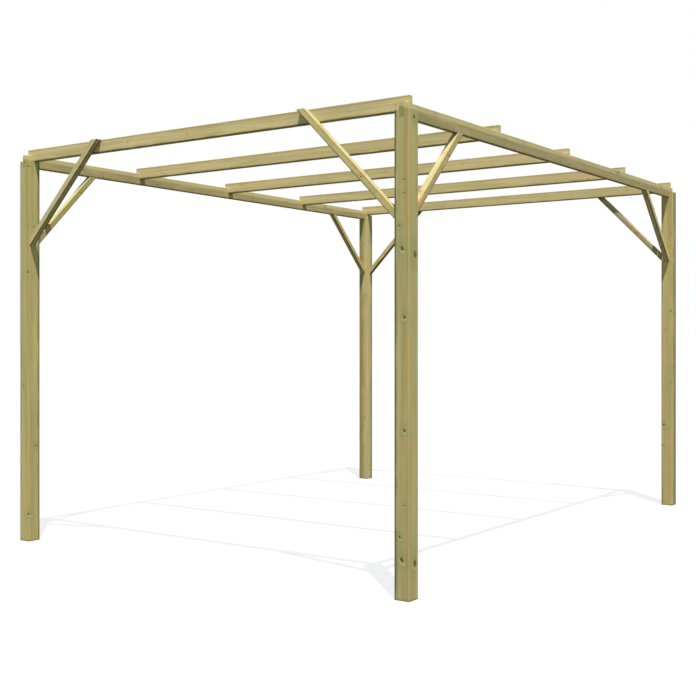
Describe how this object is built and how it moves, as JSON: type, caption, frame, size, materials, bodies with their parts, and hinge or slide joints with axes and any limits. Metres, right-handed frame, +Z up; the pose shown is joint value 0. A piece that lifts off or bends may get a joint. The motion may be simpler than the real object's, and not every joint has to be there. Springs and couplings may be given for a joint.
{
  "type": "wooden garden pergola",
  "caption": "Open garden pergola of pressure-treated pine: square posts carry slotted-in beams and notched rafters, stiffened by diagonal corner braces.",
  "frame": {"origin": "on the ground, in the middle between the four posts", "axes": "+Z up, +X to the right across the front, +Y from front to back along the beams"},
  "size_m": [2.514, 3.374, 2.146],
  "materials": {
    "treated_pine": "planed pressure-treated softwood, pale green to straw, unpainted"
  },
  "bodies": {
    "root": {"post_front_left": "treated_pine", "post_front_right": "treated_pine", "post_back_left": "treated_pine", "post_back_right": "treated_pine", "beam_left": "treated_pine", "beam_right": "treated_pine", "rafter_1": "treated_pine", "rafter_2": "treated_pine", "rafter_3": "treated_pine", "rafter_4": "treated_pine", "rafter_5": "treated_pine", "rafter_brace_front_left": "treated_pine", "beam_brace_front_left": "treated_pine", "rafter_brace_front_right": "treated_pine", "beam_brace_front_right": "treated_pine", "rafter_brace_back_left": "treated_pine", "beam_brace_back_left": "treated_pine", "rafter_brace_back_right": "treated_pine", "beam_brace_back_right": "treated_pine"}
  },
  "joints": []
}
